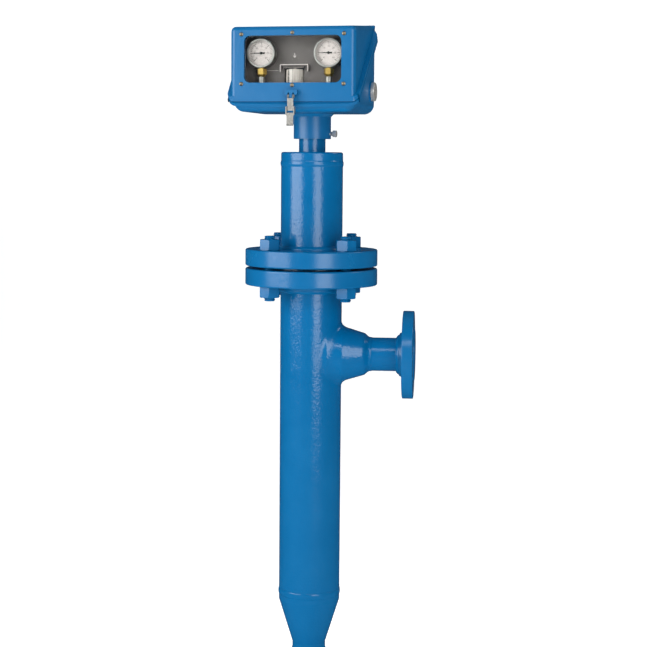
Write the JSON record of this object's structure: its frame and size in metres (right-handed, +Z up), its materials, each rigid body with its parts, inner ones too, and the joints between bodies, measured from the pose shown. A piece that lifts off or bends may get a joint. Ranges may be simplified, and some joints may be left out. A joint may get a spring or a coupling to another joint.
{
  "type": "displacer level transmitter",
  "caption": "Displacer level transmitter: a windowed instrument head with gauges on a flanged spring housing above a tubular cage with side and bottom flanges.",
  "frame": {"origin": "centre of the bottom flange's face, on the column's axis", "axes": "+Z up the column, +X along the side connection; the head's window looks towards -Y, turned 8 degrees"},
  "size_m": [0.2641, 0.2332, 0.972],
  "materials": {
    "blue_paint": "glossy blue enamel over cast and rolled metal",
    "gasket_sheet": "pressed fibre sheet, dark",
    "stainless": "stainless steel, brushed",
    "spring_steel": "oil tempered spring wire",
    "rubber": "black rubber",
    "clear_glass": "clear flat glass",
    "aged_brass": "weathered brass screws",
    "clean_brass": "turned brass",
    "zinc_plate": "zinc plated sheet and screws",
    "panel_paint": "matt dark grey paint",
    "cast_block": "machined aluminium",
    "dial_face": "matt off-white dial",
    "needle_black": "black painted strip",
    "magnet_black": "sintered magnet",
    "wheel_plastic": "pale moulded wheel"
  },
  "bodies": {
    "cage": {"chamber_tube": "blue_paint", "chamber_flange": "blue_paint", "side_boss": "blue_paint", "side_pipe": "blue_paint", "side_flange": "blue_paint", "bottom_reducer": "blue_paint", "bottom_pipe": "blue_paint", "bottom_flange": "blue_paint", "flange_gasket": "gasket_sheet", "head_flange": "blue_paint", "flange_studs": "blue_paint", "upper_nuts": "blue_paint", "lower_nuts": "blue_paint", "spring_housing": "blue_paint", "housing_cap": "blue_paint", "enclosing_tube": "blue_paint", "spring_seat": "stainless", "range_spring": "spring_steel"},
    "head": {"head_base": "blue_paint", "cover_gasket": "rubber", "hinge_pin": "stainless", "hub_screw": "stainless", "port_rings": "stainless", "mounting_frame": "zinc_plate", "frame_screws": "zinc_plate", "instrument_panel": "panel_paint", "panel_screws": "zinc_plate", "manifold_block": "cast_block", "gauge_couplings": "stainless", "arm_pivot": "stainless", "nozzle_jet": "clean_brass", "relay_block": "cast_block", "feedback_bellows": "clean_brass", "air_tubes": "stainless", "supply_gauge_case": "stainless", "supply_gauge_socket": "clean_brass", "supply_gauge_dial": "dial_face", "supply_gauge_lens": "clear_glass", "output_gauge_case": "stainless", "output_gauge_socket": "clean_brass", "output_gauge_dial": "dial_face", "output_gauge_lens": "clear_glass"},
    "moving_train": {"spring_plate": "stainless", "stem": "stainless", "displacer": "stainless", "attraction_sleeve": "stainless"},
    "cover": {"head_cover": "blue_paint", "window_gasket": "rubber", "window_glass": "clear_glass", "window_retainer": "zinc_plate", "window_screws": "aged_brass", "strap_pin": "stainless"},
    "latch_strap": {"latch_strap": "stainless", "lever_pin": "stainless"},
    "latch_lever": {"latch_lever": "stainless"},
    "magnet_arm": {"magnet_arm": "cast_block", "arm_magnet": "magnet_black"},
    "supply_pointer": {"supply_gauge_pointer": "needle_black"},
    "output_pointer": {"output_gauge_pointer": "needle_black"},
    "set_point_wheel": {"set_point_wheel": "wheel_plastic"}
  },
  "joints": [
    {"name": "head_swivel", "type": "hinge", "parent": "cage", "child": "head", "pos_m": [0, 0, 0.8439], "axis": [0, 0, 1], "range_deg": [-180, 180]},
    {"name": "cover_swing", "type": "hinge", "parent": "head", "child": "cover", "pos_m": [0.00181, 0.01287, 0.9614], "axis": [-0.9903, 0.1392, 0], "range_deg": [0, 105]},
    {"name": "latch_strap_swing", "type": "hinge", "parent": "cover", "child": "latch_strap", "pos_m": [-0.01747, -0.12428, 0.8644], "axis": [-0.9903, 0.1392, 0], "range_deg": [0, 100]},
    {"name": "latch_lever_flip", "type": "hinge", "parent": "latch_strap", "child": "latch_lever", "pos_m": [-0.01754, -0.12477, 0.8469], "axis": [-0.9903, 0.1392, 0], "range_deg": [0, 90]},
    {"name": "displacer_travel", "type": "slide", "parent": "cage", "child": "moving_train", "axis": [0, 0, 1], "range_m": [0, 0.016], "stiffness_N_per_m": 1500, "deforming": ["range_spring"]},
    {"name": "magnet_arm_tilt", "type": "hinge", "parent": "head", "child": "magnet_arm", "pos_m": [-0.04931, -0.02033, 0.8929], "axis": [-0.1392, -0.9903, 0], "range_deg": [0, 20.5]},
    {"name": "supply_pointer_turn", "type": "hinge", "parent": "head", "child": "supply_pointer", "pos_m": [-0.0614, -0.0974, 0.9235], "axis": [0.1392, 0.9903, 0], "range_deg": [-45, 225], "stiffness_Nm_per_rad": 0.0005},
    {"name": "output_pointer_turn", "type": "hinge", "parent": "head", "child": "output_pointer", "pos_m": [0.03218, -0.11055, 0.9235], "axis": [0.1392, 0.9903, 0], "range_deg": [-45, 225], "stiffness_Nm_per_rad": 0.0005},
    {"name": "set_point_turn", "type": "hinge", "parent": "head", "child": "set_point_wheel", "pos_m": [-0.01601, -0.08661, 0.8929], "axis": [0, 0, 1], "range_deg": [-150, 150]}
  ],
  "couplings": [
    {"joint": "magnet_arm_tilt", "follows": "displacer_travel", "rad_per_m": 21.74}
  ]
}
